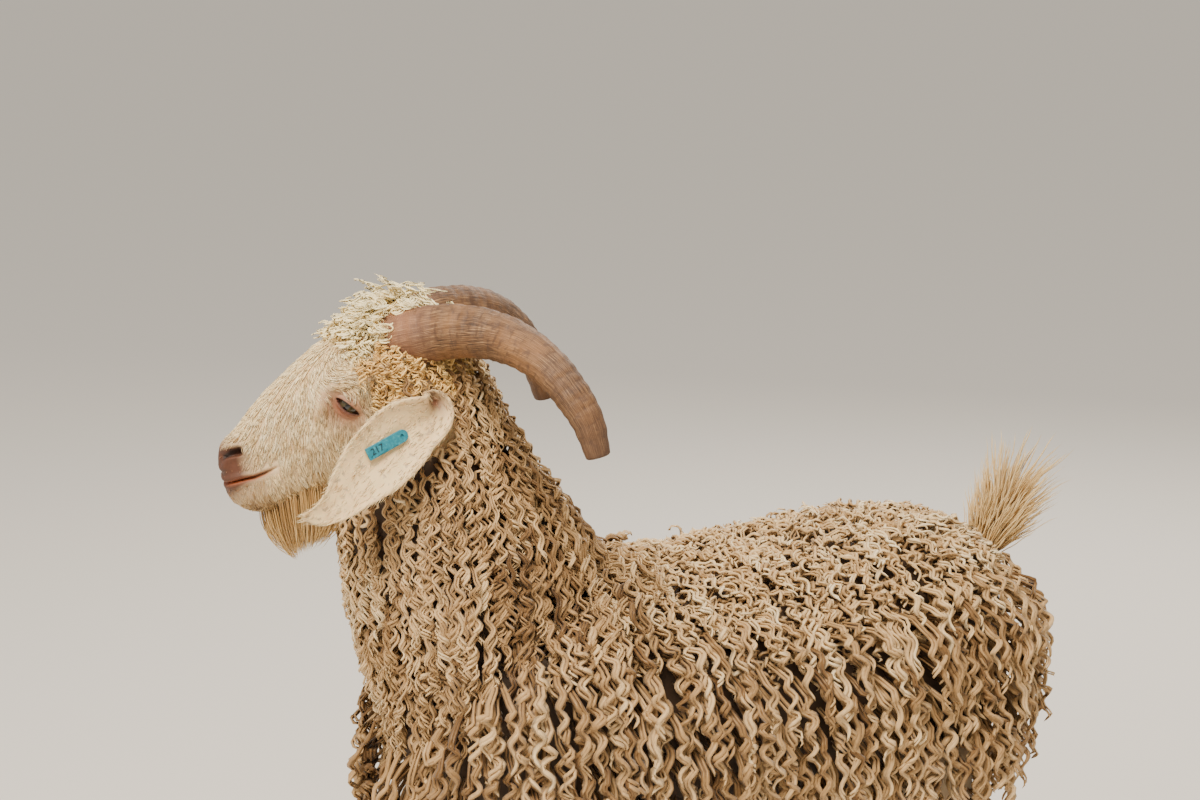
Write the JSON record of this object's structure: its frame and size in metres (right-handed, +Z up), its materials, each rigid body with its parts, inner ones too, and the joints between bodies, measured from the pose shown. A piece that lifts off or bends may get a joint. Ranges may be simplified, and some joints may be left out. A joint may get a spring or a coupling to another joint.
{
  "type": "angora goat",
  "caption": "Still life-size angora goat, standing with its head up, with curled fleece, swept-back horns and a plain tag in its left ear.",
  "frame": {"origin": "on the floor, under the middle of the whole animal's box", "axes": "+Z up; the goat faces -X, its left side is -Y and its right side is +Y"},
  "size_m": [0.9589, 0.4349, 0.9156],
  "materials": {
    "fleece": "long lustrous ringlets, cream to brown",
    "face": "short pale hair over pink skin",
    "ear": "thin pink skin with sparse pale hair",
    "eye": "wet and glossy, dark olive iris",
    "horn": "dull brown horn with fibres and shallow rings",
    "hoof": "dull dark horn",
    "tag": "smooth blue plastic, slightly worn"
  },
  "bodies": {
    "root": {"head": "face", "neck": "fleece", "torso": "fleece", "tail": "fleece", "foreleg_left": "fleece", "foreleg_right": "fleece", "hindleg_left": "fleece", "hindleg_right": "fleece", "hindshank_left": "fleece", "hindshank_right": "fleece", "ear_left": "ear", "ear_right": "ear", "eye_left": "eye", "eye_right": "eye", "horn_left": "horn", "horn_right": "horn", "ear_tag": "tag", "hoof_foreleg_left_outer": "hoof", "hoof_foreleg_left_inner": "hoof", "hoof_foreleg_right_outer": "hoof", "hoof_foreleg_right_inner": "hoof", "hoof_hindleg_left_outer": "hoof", "hoof_hindleg_left_inner": "hoof", "hoof_hindleg_right_outer": "hoof", "hoof_hindleg_right_inner": "hoof"}
  },
  "joints": []
}
